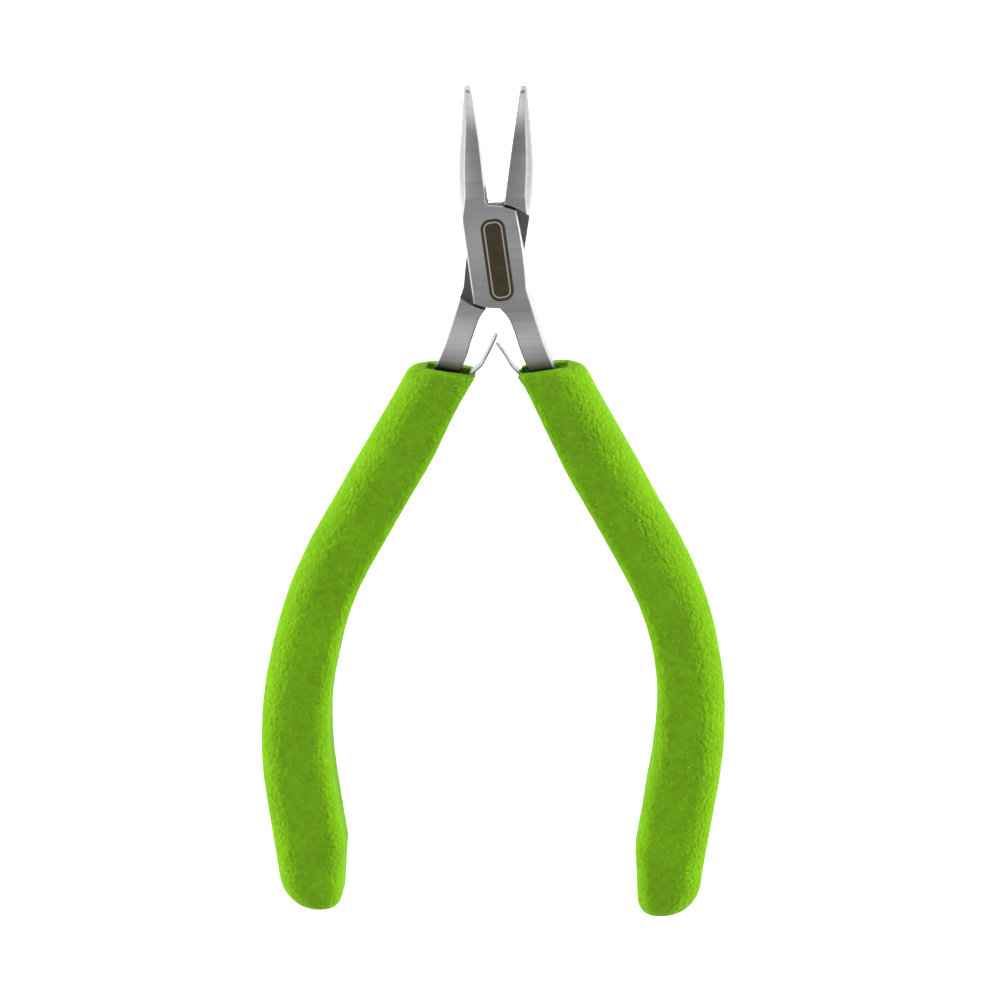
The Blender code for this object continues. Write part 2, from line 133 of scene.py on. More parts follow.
# Leaf springs and their seats in the arms
LEAF_T = 0.3
LEAF_W_ROOT = 4.2
LEAF_W_TIP = 2.0
LEAF_CORNER = 0.06
LEAF_TIP_ROUND = 0.5        # the strip's end rounds off over this length
LEAF_TIP_SHARE = 0.72       # to this share of its width
LEAF_LEAN = {1: 0.15, -1: 0.45}     # the back edge of each leaf stands this much nearer to its arm
LEAF_ROOT = (4.75, -26.6)
SHORT_LEAF = (LEAF_ROOT, (1.25, -20.75), (0.15, -19.3), (-0.65, -17.5), (-1.5, -15.85), (-2.0, -14.95))
LONG_LEAF = (LEAF_ROOT, (1.0, -20.9), (-0.45, -19.1), (-0.95, -17.85), (-1.8, -15.4), (-2.32, -13.3))
SEAT_MOUTH = (1.0, -20.95)
SEAT_W = 1.3
SEAT_OPEN = 2.0             # the seat runs this far from the root towards the mouth
SEAT_PAST_ROOT = 0.7

# Screw
HEAD_R = 3.3
HEAD_T = 1.2
HEAD_SINK = 0.25
SINK_GAP = 0.15
SHANK_R = 2.2
RUNNING_GAP = 0.08
THREAD_GAP = 0.1
THREAD_DEPTH = 2.5


# ---------------------------------------------------------------- small helpers
def place(side):
    """Matrix from a closed lever's millimetres to the row frame; side is +1 for the front lever."""
    turn = Matrix.Rotation(side * OPEN_HALF, 4, "Z")
    return Matrix.Translation(PIVOT) @ turn @ Matrix.Diagonal((side * MM, MM, MM, 1.0))


def smooth_step(value):
    value = min(1.0, max(0.0, value))
    return value * value * (3.0 - 2.0 * value)


def eased(value, start, length):
    """0 up to start, 1 a length past it, and a smooth rise between."""
    return smooth_step((value - start) / length)


def quarter_round(share):
    """How far a quarter circle of radius 1 has come in after a share of its length."""
    return 1.0 - math.sqrt(max(0.0, 1.0 - share**2))


def mix(low, high, share):
    return low + (high - low) * share


def steps(start, end, count):
    return [start + (end - start) * i / count for i in range(count + 1)]


def smooth_path(points, parts=8):
    """A smooth curve through points, with the same number of parts between each two."""
    points = [Vector(p) for p in points]
    ends = [2 * points[0] - points[1], *points, 2 * points[-1] - points[-2]]
    path = []
    for p0, p1, p2, p3 in zip(ends, ends[1:], ends[2:], ends[3:]):
        for t in steps(0.0, 1.0, parts)[:-1]:
            path.append(0.5 * (2 * p1 + (p2 - p0) * t + (2 * p0 - 5 * p1 + 4 * p2 - p3) * t**2
                               + (3 * p1 - p0 - 3 * p2 + p3) * t**3))
    return path + [points[-1]]


def add_object(name, bm, material, smooth_angle=35.0):
    bmesh.ops.recalc_face_normals(bm, faces=bm.faces)
    mesh = bpy.data.meshes.new(name)
    bm.to_mesh(mesh)
    bm.free()
    mesh.shade_smooth()
    mesh.set_sharp_from_angle(angle=math.radians(smooth_angle))
    if material is not None:
        mesh.materials.append(material)
    obj = bpy.data.objects.new(name, mesh)
    bpy.context.collection.objects.link(obj)
    return obj


def skin(rings, tube=False):
    """Faces between rings of points in the row frame. The ends are filled, or joined to make a tube."""
    bm = bmesh.new()
    made = [[bm.verts.new(point) for point in ring] for ring in rings]
    count = len(rings[0])
    following = made[1:] + made[:1] if tube else made[1:]
    for low, high in zip(made, following):
        for i in range(count):
            j = (i + 1) % count
            bm.faces.new((low[i], low[j], high[j], high[i]))
    if not tube:
        bm.faces.new(made[0])
        bm.faces.new(made[-1])
    return bm


# ---------------------------------------------------------------- node helpers
class Nodes:
    """A material's node tree with short ways to add and join nodes."""

    def __init__(self, name):
        self.material = bpy.data.materials.new(name)
        self.material.use_nodes = True
        self.tree = self.material.node_tree
        self.shader = self.tree.nodes["Principled BSDF"]
        self.place_out = self.add("ShaderNodeTexCoord").outputs["Object"]

    def add(self, kind, **settings):
        node = self.tree.nodes.new(kind)
        for key, value in settings.items():
            setattr(node, key, value)
        return node

    def join(self, output, socket):
        self.tree.links.new(output, socket)

    def value(self, name, number):
        self.shader.inputs[name].default_value = number

    def stretched(self, scale):
        """Object coordinates, scaled along each axis; the row frame is in metres."""
        mapping = self.add("ShaderNodeMapping", vector_type="POINT")
        mapping.inputs["Scale"].default_value = scale
        self.join(self.place_out, mapping.inputs["Vector"])
        return mapping.outputs["Vector"]

    def lever_place(self, side):
        """Coordinates in a lever's own closed frame, in metres, with the pivot at the origin."""
        shift = self.add("ShaderNodeVectorMath", operation="SUBTRACT")
        self.join(self.place_out, shift.inputs[0])
        shift.inputs[1].default_value = PIVOT
        turn = self.add("ShaderNodeVectorRotate", rotation_type="Z_AXIS")
        turn.inputs["Angle"].default_value = -side * OPEN_HALF
        self.join(shift.outputs["Vector"], turn.inputs["Vector"])
        flip = self.add("ShaderNodeVectorMath", operation="MULTIPLY")
        flip.inputs[1].default_value = (side, 1.0, 1.0)
        self.join(turn.outputs["Vector"], flip.inputs[0])
        return flip.outputs["Vector"]

    def noise(self, vector, scale, detail=3.0, rough=0.5):
        node = self.add("ShaderNodeTexNoise")
        node.inputs["Scale"].default_value = scale
        node.inputs["Detail"].default_value = detail
        node.inputs["Roughness"].default_value = rough
        self.join(vector, node.inputs["Vector"])
        return node.outputs["Fac"]

    def voronoi(self, vector, scale):
        node = self.add("ShaderNodeTexVoronoi", feature="SMOOTH_F1")
        node.inputs["Scale"].default_value = scale
        node.inputs["Smoothness"].default_value = 0.4
        self.join(vector, node.inputs["Vector"])
        return node.outputs["Distance"]

    def range(self, output, low, high, to_low, to_high):
        node = self.add("ShaderNodeMapRange")
        names = ("From Min", "From Max", "To Min", "To Max")
        for name, number in zip(names, (low, high, to_low, to_high)):
            node.inputs[name].default_value = number
        self.join(output, node.inputs["Value"])
        return node.outputs["Result"]

    def blend(self, first, second, share):
        """A share of one value and the rest of another."""
        return self.maths("ADD", self.maths("MULTIPLY", first, share),
                          self.maths("MULTIPLY", second, round(1.0 - share, 6)))

    def maths(self, operation, first, second):
        node = self.add("ShaderNodeMath", operation=operation)
        for socket, item in zip(node.inputs, (first, second)):
            if isinstance(item, (int, float)):
                socket.default_value = item
            else:
                self.join(item, socket)
        return node.outputs["Value"]

    def ramp(self, output, stops):
        node = self.add("ShaderNodeValToRGB")
        elements = node.color_ramp.elements
        while len(elements) < len(stops):
            elements.new(0.5)
        for element, (position, colour) in zip(elements, stops):
            element.position = position
            element.color = (*colour, 1.0)
        self.join(output, node.inputs["Fac"])
        return node.outputs["Color"]

    def tint(self, base, colour, share, kind="MIX"):
        node = self.add("ShaderNodeMix", data_type="RGBA", blend_type=kind)
        for name, item in (("Factor", share), ("A", base), ("B", colour)):
            socket = next(s for s in node.inputs if s.name == name and s.enabled)
            if isinstance(item, (int, float)):
                socket.default_value = item
            elif isinstance(item, tuple):
                socket.default_value = (*item, 1.0)
            else:
                self.join(item, socket)
        return next(s for s in node.outputs if s.enabled)

    def bump(self, height, strength, distance):
        node = self.add("ShaderNodeBump")
        node.inputs["Strength"].default_value = strength
        node.inputs["Distance"].default_value = distance
        self.join(height, node.inputs["Height"])
        return node.outputs["Normal"]


# ---------------------------------------------------------------- materials
TONE_Y = (-0.020, 0.016)            # the arm's end and the jaw's middle, in metres ahead of the pivot
MOUTH_SHADE_Y = (-0.0188, -0.0205)        # the arm darkens between these, where it goes into the foam: painted shade of the foam's mouth
# colour of the painted shade on the arm inside the foam's mouth
MOUTH_SHADE_COLOUR = (0.012, 0.010, 0.014)
LAP_HEIGHT = (0.00020, 0.00032)     # the recess floors lie within this of the lap plane; their grey is dull steel and painted shade
LAP_DULL_AND_SHADE = (0.15, 0.15, 0.16)
THROAT_AT = (0.0013, 0.0090, 0.0)   # the forged patch between the jaws: its middle,
THROAT_REACH = (0.0036, 0.0028)     # where it ends and where it is full,
THROAT_HEIGHT = (0.0034, 0.0032)    # and the same for its height above the lap plane
FORGED = (0.020, 0.019, 0.019)


def steel_along(arm_shade_tone):
    """The base colour lightens from the jaw to the joint; the arm's darker tone is painted shade that damps
    the highlight its taper catches.
    """
    return [(0.0, (arm_shade_tone,) * 3), (0.30, (arm_shade_tone,) * 3), (0.62, (0.77,) * 3), (1.0, (0.53, 0.53, 0.535))]


def brushed_steel(name, tone, rough, side=0, arm_shade_tone=0.8, fine=1.0):
    """Steel with fine cross-wise brush lines. A lever's side adds painted shade at its grip end, and its
    throat.
    """
    n = Nodes(name)
    lines = n.noise(n.stretched((70.0, 4200.0 * fine, 1500.0 * fine)), 1.0, detail=4.0, rough=0.65)
    broad = n.noise(n.stretched((110.0, 900.0, 500.0)), 1.0, detail=3.0)
    cloud = n.noise(n.place_out, 160.0, detail=3.0, rough=0.6)
    colour = n.ramp(n.blend(lines, broad, 0.6), [
        (0.32, tuple(0.86 * c for c in tone)),
        (0.50, tone),
        (0.70, tuple(min(1.0, 1.11 * c) for c in tone)),
    ])
    roughness = n.range(n.blend(cloud, lines, 0.5), 0.3, 0.7, rough - 0.05, rough + 0.08)
    if side:
        colour, roughness = lever_wear_and_shade(n, side, arm_shade_tone, cloud, colour, roughness)
    n.join(colour, n.shader.inputs["Base Color"])
    n.join(roughness, n.shader.inputs["Roughness"])
    n.value("Metallic", 1.0)
    n.join(n.bump(lines, 0.35, 0.00001), n.shader.inputs["Normal"])
    return n.material


def lever_wear_and_shade(n, side, arm_shade_tone, cloud, colour, roughness):
    """A lever's tones by place: along its length (the arm's tone is painted shade), painted shade where the
    arm goes into the foam, the recess floor dull and with painted shade, and the throat.
    """
    split = n.add("ShaderNodeSeparateXYZ")
    n.join(n.lever_place(side), split.inputs["Vector"])
    # the arm's end of this ramp is painted shade
    along = n.ramp(n.range(split.outputs["Y"], *TONE_Y, 0.0, 1.0), steel_along(arm_shade_tone))
    colour = n.tint(colour, along, 1.0, "MULTIPLY")
    jitter = n.maths("MULTIPLY", n.maths("SUBTRACT", cloud, 0.5), 0.0006)
    # painted shade: the arm turns near black where it goes into the foam
    mouth_shade = n.range(n.maths("ADD", split.outputs["Y"], jitter), *MOUTH_SHADE_Y, 0.0, 0.985)
    colour = n.tint(colour, MOUTH_SHADE_COLOUR, mouth_shade)
    # the recess floors: dull rough steel, darkened further by painted shade
    lap = n.range(n.maths("ABSOLUTE", split.outputs["Z"], 0.0), *LAP_HEIGHT, 0.88, 0.0)
    colour = n.tint(colour, LAP_DULL_AND_SHADE, lap)
    flat = n.add("ShaderNodeCombineXYZ")
    n.join(split.outputs["X"], flat.inputs["X"])
    n.join(split.outputs["Y"], flat.inputs["Y"])
    throat = n.add("ShaderNodeVectorMath", operation="DISTANCE")
    n.join(flat.outputs["Vector"], throat.inputs[0])
    throat.inputs[1].default_value = THROAT_AT
    near = n.range(throat.outputs["Value"], *THROAT_REACH, 0.0, 1.0)
    below = n.range(split.outputs["Z"], *THROAT_HEIGHT, 0.0, 1.0)
    scale = n.noise(n.place_out, 1900.0, detail=3.0, rough=0.7)
    patchy = n.range(scale, 0.35, 0.60, 0.95, 0.45)
    forged = n.maths("MULTIPLY", n.maths("MULTIPLY", near, below), patchy)
    colour = n.tint(colour, FORGED, forged)
    return colour, n.maths("ADD", roughness, n.maths("MULTIPLY", forged, 0.65))


def foam_material():
    """Closed-cell foam: lime green, pebbled skin with small pale sparkles on the high cells; the sparkles are
    painted glints.
    """
    n = Nodes("green_foam")
    wobble = n.add("ShaderNodeVectorMath", operation="MULTIPLY_ADD")
    offset = n.add("ShaderNodeTexNoise")
    offset.inputs["Scale"].default_value = 420.0
    n.join(n.place_out, offset.inputs["Vector"])
    n.join(offset.outputs["Color"], wobble.inputs[0])
    wobble.inputs[1].default_value = (0.0009, 0.0009, 0.0009)
    n.join(n.place_out, wobble.inputs[2])
    warped = wobble.outputs["Vector"]
    cells = n.voronoi(warped, 1450.0)
    grit = n.noise(n.place_out, 3000.0, detail=2.0, rough=0.7)
    cloud = n.noise(n.place_out, 130.0, detail=4.0, rough=0.6)
    patches = n.noise(n.place_out, 900.0, detail=3.0, rough=0.6)
    relief = n.maths("ADD", n.maths("MULTIPLY", cells, -1.0), n.maths("MULTIPLY", grit, 0.5))
    colour = n.ramp(n.blend(cloud, patches, 0.4), [
        (0.30, (0.120, 0.292, 0.0024)),
        (0.50, (0.146, 0.355, 0.0030)),
        (0.72, (0.182, 0.440, 0.0042)),
    ])
    # painted glints: small pale green spots mixed into the colour
    painted_glint = n.range(n.noise(n.place_out, 2100.0, detail=1.0), 0.66, 0.76, 0.0, 0.45)
    colour = n.tint(colour, (0.34, 0.72, 0.040), painted_glint)
    n.join(colour, n.shader.inputs["Base Color"])
    n.join(n.range(patches, 0.3, 0.7, 0.72, 0.88), n.shader.inputs["Roughness"])
    n.value("Specular IOR Level", 0.10)
    n.join(n.bump(relief, 0.9, 0.00030), n.shader.inputs["Normal"])
    return n.material


def etched_material():
    """Dark brown etched steel with a fine speckle."""
    n = Nodes("etched_dark")
    speck = n.noise(n.place_out, 2600.0, detail=3.0, rough=0.7)
    cloud = n.noise(n.place_out, 420.0, detail=3.0)
    colour = n.ramp(n.blend(speck, cloud, 0.6), [
        (0.35, (0.018, 0.012, 0.004)),
        (0.55, (0.034, 0.024, 0.009)),
        (0.75, (0.075, 0.055, 0.026)),
    ])
    n.join(colour, n.shader.inputs["Base Color"])
    n.join(n.range(speck, 0.3, 0.7, 0.42, 0.60), n.shader.inputs["Roughness"])
    n.value("Metallic", 0.3)
    n.join(n.bump(speck, 0.3, 0.00002), n.shader.inputs["Normal"])
    return n.material


def floor_material():
    """A pale table that glows a little, so that it stays near white round the object."""
    n = Nodes("pale_floor")
    grain = n.noise(n.place_out, 60.0, detail=3.0)
    colour = n.ramp(grain, [(0.3, (0.48, 0.48, 0.48)), (0.7, (0.52, 0.52, 0.52))])
    n.join(colour, n.shader.inputs["Base Color"])
    n.value("Roughness", 0.9)
    n.value("Specular IOR Level", 0.1)
    n.value("Emission Color", (0.99, 0.985, 0.985, 1.0))
    n.value("Emission Strength", 1.12)
    return n.material


# ---------------------------------------------------------------- grip and tang lines
def grip_middle(distance):
    """Point and lean of the grip's middle line, a distance below its mouth."""
    run = min(distance, GRIP_RUN)
    x = GRIP_TOP_X + run * math.sin(GRIP_LEAN)
    y = GRIP_TOP_Y - run * math.cos(GRIP_LEAN)
    if distance <= GRIP_RUN:
        return x, y, GRIP_LEAN
    lean = GRIP_LEAN - min((distance - GRIP_RUN) / GRIP_R, GRIP_TURN)
    x += GRIP_R * (math.cos(lean) - math.cos(GRIP_LEAN))
    y -= GRIP_R * (math.sin(GRIP_LEAN) - math.sin(lean))
    rest = max(0.0, distance - GRIP_RUN - GRIP_R * GRIP_TURN)
    return x + rest * math.sin(lean), y - rest * math.cos(lean), lean


def hermite(start, slope, end, end_slope, share):
    """x part-way between two points of a smooth edge; slopes are x per unit of falling y."""
    drop = start[1] - end[1]
    t2, t3 = share**2, share**3
    return ((2 * t3 - 3 * t2 + 1) * start[0] + (t3 - 2 * t2 + share) * drop * slope
            + (3 * t2 - 2 * t3) * end[0] + (t3 - t2) * drop * end_slope)


def tang_pairs():
    """(inner point, outer point) pairs down the tang from where it curves into the grip."""
    def at(distance):
        x, y, lean = grip_middle(distance)
        half = 0.5 * mix(TANG_W, TANG_END_W, distance / TANG_END)
        dx, dy = half * math.cos(lean), half * math.sin(lean)
        return (x - dx, y - dy), (x + dx, y + dy)

    joined = next(d for d in steps(20.0, 60.0, 400) if grip_middle(d)[1] <= TANG_JOIN_Y)
    inner_end, outer_end = at(joined)
    slope = math.tan(GRIP_LEAN)
    inner_start, outer_start = FRONT_INNER_EDGE[-1], ARM_OUTER_EDGE[-1]
    pairs = []
    for share in steps(0.0, 1.0, 24)[:-1]:
        left_x = hermite(inner_start, TANG_INNER_SLOPE, inner_end, slope, share)
        right_x = hermite(outer_start, TANG_OUTER_SLOPE, outer_end, slope, share)
        left_y, right_y = (mix(ARM_END_Y, end[1], share) for end in (inner_end, outer_end))
        pairs.append(((left_x, left_y), (right_x, right_y)))
    return pairs + [at(d) for d in steps(joined, TANG_END, 20)]


# ---------------------------------------------------------------- levers
def jaw_outer(y):
    """Distance of the jaw's outer edge from the centre line."""
    bent = max(0.0, min(y, JAW_STRAIGHT_Y) - JAW_ROUND_Y)
    return PLATE_HALF_W - bent**2 / (2.0 * JAW_CURVE_R) - JAW_TAPER * max(0.0, y - JAW_STRAIGHT_Y)


def jaw_bulge(y):
    """How far the half-round back stands out beyond the flat front."""
    return min(JAW_BULGE, JAW_BULGE_SHARE * jaw_outer(y)) * eased(y, JAW_BULGE_FROM_Y, JAW_BULGE_OVER)


def lever_thickness(y):
    if y > TAPER_START_Y:
        return mix(JOINT_T, TIP_T, (y - TAPER_START_Y) / (JAW_TOP_Y - TAPER_START_Y))
    if y < -SHOULDER_R:
        return mix(JOINT_T, ARM_T, smooth_step((-SHOULDER_R - y) / (-SHOULDER_R - ARM_THIN_Y)))
    return JOINT_T


def edge_x(edge, y):
    """x at a height on straight runs between an edge's points, listed from the top down."""
    falling = [p[::-1] for p in reversed(edge)]
    return float(np.interp(y, *zip(*falling)))


def arm_inner(extra):
    """Points of the arm's inner edge below the crotch; the front arm is the wider one."""
    edge = FRONT_INNER_EDGE if extra > 0.0 else REAR_INNER_EDGE
    return [tuple(p) for p in smooth_path(edge, 6)]


def body_pairs(extra):
    """(left point, right point) pairs from the throat down to the start of the tang."""
    pairs = []
    top_y = THROAT_R + PLATE_R + 0.02
    corner_y = math.sqrt(PLATE_R**2 - PLATE_HALF_W**2)
    for turn in np.radians(steps(0.0, 90.0, 10)):
        y = top_y - THROAT_R * math.sin(turn)
        pairs.append(((-jaw_outer(y), y), (THROAT_R * (1.0 - math.cos(turn)) - FACE_RELIEF, y)))
    start = math.acos((THROAT_R - FACE_RELIEF) / PLATE_R)
    end = math.acos(PLATE_HALF_W / PLATE_R)
    for turn in steps(start, end, 20)[1:]:
        y = PLATE_R * math.sin(turn)
        pairs.append(((-jaw_outer(y), y), (PLATE_R * math.cos(turn), y)))
    for share in steps(0.0, 1.0, 24)[1:]:
        y = mix(corner_y, WAIST_Y, share)
        swell = PLATE_BULGE * math.sin(math.pi * share)
        pairs.append(((-PLATE_HALF_W, y), (mix(PLATE_HALF_W, WAIST_X, share) + swell, y)))
    crotch_x = CROTCH_X - extra
    for turn in steps(math.acos(PLATE_HALF_W / PLATE_R), math.acos(-crotch_x / PLATE_R), 20):
        x, y = -PLATE_R * math.cos(turn), -PLATE_R * math.sin(turn)
        pairs.append(((x, y), (edge_x(ARM_OUTER_EDGE, y), y)))
    inner = arm_inner(extra)
    first = pairs[-1][0]
    for share in steps(0.0, 1.0, 8)[1:-1]:
        x = hermite(first, CROTCH_SLOPE, inner[0], ARM_TOP_SLOPE, share)
        y = mix(first[1], inner[0][1], share)
        pairs.append(((x, y), (edge_x(ARM_OUTER_EDGE, y), y)))
    for y in steps(inner[0][1], ARM_END_Y, 26):
        pairs.append(((edge_x(inner, y), y), (edge_x(ARM_OUTER_EDGE, y), y)))
    return pairs


def lever_section(left, right, height, tilt):
    """One cross-section: flat front and rear, bulging left side, straight right side, cut corners."""
    y = 0.5 * (left[1] + right[1])
    half = 0.5 * lever_thickness(y)
    bulge, chamfer = jaw_bulge(y), edge_chamfer(y)
    along = (Vector((*right, 0.0)) - Vector((*left, 0.0))).normalized()
    up = Vector((0.0, -math.sin(tilt), math.cos(tilt))) * half
    base = Vector((*left, height))
    far = Vector((*right, height))
    flank = 1.0 - chamfer / half
    reach = math.asin(flank * math.sin(BACK_ARC)) / BACK_ARC
    points = [base + along * (bulge + chamfer) + up]
    for angle in steps(reach, -reach, 16):
        across = math.sin(angle * BACK_ARC) / math.sin(BACK_ARC)
        out = (math.cos(angle * BACK_ARC) - math.cos(BACK_ARC)) / (1.0 - math.cos(BACK_ARC))
        points.append(base + along * (bulge * (1.0 - out)) + up * across)
    points.append(base + along * (bulge + chamfer) - up)
    points += [far - along * chamfer - up, far - up * flank, far + up * flank, far - along * chamfer + up]
    return points


def edge_chamfer(y):
    """Crisp edges on the jaw, a broader polished bevel on the plate and the arm."""
    return mix(BODY_CHAMFER, JAW_CHAMFER, eased(y, CHAMFER_FROM_Y, CHAMFER_OVER))


def lever_sections(extra):
    """Sections from the nose of the tip, round the bend and down the jaw, plate, arm and tang."""
    rings = []
    for tilt in steps(BEND_ANGLE, 0.0, 28):
        y = BEND_START_Y + BEND_R * math.sin(tilt)
        rings.append((y, BEND_R * (1.0 - math.cos(tilt)), tilt))
    rings += [(y, 0.0, 0.0) for y in steps(BEND_START_Y, PLATE_R + THROAT_R + 0.3, 12)[1:]]
    sections = []
    for y, height, tilt in rings:
        gap = mix(FACE_GAP, FACE_RELIEF, max(0.0, FACE_CLOSE_Y - y) / FACE_RELIEF_OVER)
        sections.append(lever_section((-jaw_outer(y), y), (-gap, y), height, tilt))
    tip = sections[0]
    middle = sum(tip, Vector()) / len(tip)
    forward = Vector((0.0, math.cos(BEND_ANGLE), math.sin(BEND_ANGLE)))
    nose = [[point.lerp(middle, shrink) + forward * ahead for point in tip] for ahead, shrink in TIP_NOSE]
    sections = nose + sections
    for left, right in body_pairs(extra) + tang_pairs()[1:]:
        sections.append(lever_section(left, right, 0.0, 0.0))
    return sections


def round_cutter(name, radius, low, high, matrix):
    """A cylinder on the pivot axis."""
    outline = [(radius * math.cos(a), radius * math.sin(a)) for a in steps(0.0, 2.0 * math.pi, 128)[:-1]]
    bm = skin([[matrix @ Vector((x, y, z)) for x, y in outline] for z in (low, high)])
    return add_object(name, bm, None)


def seat_cutter(name, matrix):
    """The notch in the arm's inner edge that holds the root of the leaf spring."""
    root, mouth = Vector(LEAF_ROOT), Vector(SEAT_MOUTH)
    inward = (root - mouth).normalized()
    across = Vector((-inward.y, inward.x)) * 0.5 * SEAT_W
    ends = (root - inward * SEAT_OPEN, root + inward * SEAT_PAST_ROOT)
    corners = (ends[0] + across, ends[1] + across, ends[1] - across, ends[0] - across)
    bm = skin([[matrix @ Vector((*corner, z)) for corner in corners] for z in (-ARM_T, ARM_T)])
    return add_object(name, bm, None)


def cut_and_settle(obj, cutters, smooth_angle):
    """Applies the cuts and marks the crisp edges."""
    for cutter in cutters:
        cut = obj.modifiers.new(cutter.name, "BOOLEAN")
        cut.operation = "DIFFERENCE"
        cut.solver = "MANIFOLD"
        cut.object = cutter
    bpy.context.view_layer.update()
    settled = bpy.data.meshes.new_from_object(obj.evaluated_get(bpy.context.evaluated_depsgraph_get()))
    obj.modifiers.clear()
    obj.data = settled
    for cutter in cutters:
        bpy.data.objects.remove(cutter)
    settled.shade_smooth()
    settled.set_sharp_from_angle(angle=math.radians(smooth_angle))


def lever(node, side, extra, material):
    """One lever: bent jaw, half-thick plate, arm and tang. The plate of side +1 lies in front."""
    matrix = place(side)
    rings = [[matrix @ point for point in ring] for ring in lever_sections(extra)]
    obj = add_object(node + "_steel", skin(rings), material)
    inner = 0.5 * LAP_GAP
    low, high = (-JOINT_T, inner) if side > 0 else (-inner, JOINT_T)
    cutters = [round_cutter("lap", SHOULDER_R, low, high, matrix), seat_cutter("seat", matrix)]
    if side > 0:
        cutters.append(round_cutter("bore", SHANK_R + THREAD_GAP, -1.0, THREAD_DEPTH, matrix))
    else:
        floor = -0.5 * JOINT_T + HEAD_SINK + HEAD_T + SINK_GAP
        cutters.append(round_cutter("bore", SHANK_R + RUNNING_GAP, -JOINT_T, 1.0, matrix))
        cutters.append(round_cutter("sink", HEAD_R + SINK_GAP, -JOINT_T, floor, matrix))
    cut_and_settle(obj, cutters, 28.0)
    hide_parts(node)
    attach(obj, node)


# ---------------------------------------------------------------- foam grips
RING_POINTS = 132
SKIN_STEP = 0.36                    # between the rings of the outer skin
END_RINGS = (0.02, 0.12, 0.3, 0.55, 0.85, 1.2, 1.6, 2.0, 2.5)   # distances from the closed end
SKIN_TO_END = 2.9                   # the evenly spaced rings stop here
CROWN = 0.035                       # the faces fall by this share towards their edges
OUTER_CORNER = (5.6, 4.4)           # corner radius near the mouth and low down
OUTER_CORNER_OVER = (30.0, 60.0)    # changing from this distance below the mouth, over this length
INNER_CORNER = (1.8, 2.8)
INNER_CORNER_OVER = (30.0, 45.0)
WIDEST_CORNER = 0.48                # no corner takes more of the width than this
DEEPEST_CORNER = 0.98
GRIP_END_ROUND = 6.5                # length over which the outer side rounds off at the bottom
GRIP_END_IN = 5.6
GRIP_HEEL = 11.0                    # the inner side tapers over this last stretch
GRIP_HEEL_IN = 2.4
GRIP_CAP = 2.4                      # and all sides round off over this one
GRIP_CAP_IN_INNER = 1.4
GRIP_CAP_IN_OUTER = 1.0
GRIP_CAP_IN_Z = 2.2
GRIP_SQUARE_OVER = 16.0             # sections turn from square with the lever to square with the grip
GRIP_SWAY = (0.35, -0.5)            # both grips stand this much to the right at the top and low down
GRIP_SWAY_OVER = (50.0, 35.0)
LIFT = 0.02                         # the foam never dips under the surface it rests on

MOUTH_TRIM = {1: 1.1, -1: 1.0}      # the foam's inner edge is worn back at the mouth
MOUTH_TRIM_OVER = 18.0
MOUTH_DROP = {1: 0.15, -1: 0.55}    # the front of each mouth sits this much lower than its plane
MOUTH_REAR = 0.5                    # and its rear stands this much higher than its front
MOUTH_DROP_OVER = 9.0
MOUTH_X = (0.75, 8.75)              # the pocket's inner and outer side at the mouth
MOUTH_HALF_DEPTH = 2.95
MOUTH_CORNER = 0.7
RIM_ROUND = 0.75
RIM_ROUND_OUTER = 2.3
RIM_OUTER_FROM = (0.2, 0.7)         # the rim gets rounder from this share of the half width, over this
RIM_MOST = 0.6                      # greatest share of the wall that the rim takes
LIP = 0.35                          # radius of the pocket's own edge

POCKET_DEPTHS = (0.9, 1.8, 3.0, 4.5)
POCKET_NARROW_OVER = 6.0            # the pocket narrows to these sides
POCKET_X = (2.6, 9.0)
POCKET_DRIFT = (0.12, 0.10)         # and its sides lean out with depth
TANG_FIT_Y = GRIP_TOP_Y - 6.5       # from here on it follows the tang
TANG_FIT_OVER = 5.0
POCKET_GAP = 0.3
POCKET_EASE_X = 0.5                 # extra gap where the fit starts
POCKET_EASE_Z = 0.15
POCKET_CORNER = 0.4
POCKET_END = 0.4                    # the pocket runs this much past the tang's end

DENTS = (0.11, 0.16)                # (how many to a millimetre, height) of the foam's relief
LUMPS = (0.45, 0.045)
CELLS = (0.95, 0.055)
RELIEF_SINK = 0.05                  # keeps the relief about level with the plain skin


def section(left, right, half_depth, inner_corner, outer_corner, crown, count):
    """Evenly spaced (offset, height) points round a section with its own corners on each side."""
    dense = []
    corners = (
        (right - outer_corner, half_depth - outer_corner, outer_corner, 0),
        (left + inner_corner, half_depth - inner_corner, inner_corner, 90),
        (left + inner_corner, inner_corner - half_depth, inner_corner, 180),
        (right - outer_corner, outer_corner - half_depth, outer_corner, 270),
    )
    for cx, cz, radius, start in corners:
        for angle in steps(start, start + 90, 24):
            turn = math.radians(angle)
            dense.append((cx + radius * math.cos(turn), cz + radius * math.sin(turn)))
    dense = np.array(dense + dense[:1])
    lengths = np.hypot(*np.diff(dense, axis=0).T)
    reach = np.concatenate(([0.0], np.cumsum(lengths)))
    wanted = np.linspace(0.0, reach[-1], count, endpoint=False)
    points = np.stack([np.interp(wanted, reach, dense[:, k]) for k in (0, 1)], axis=1)
    middle, half = 0.5 * (left + right), 0.5 * (right - left)
    across = np.clip((points[:, 0] - middle) / half, -1.0, 1.0)
    points[:, 1] *= 1.0 - crown * across**2
    return points


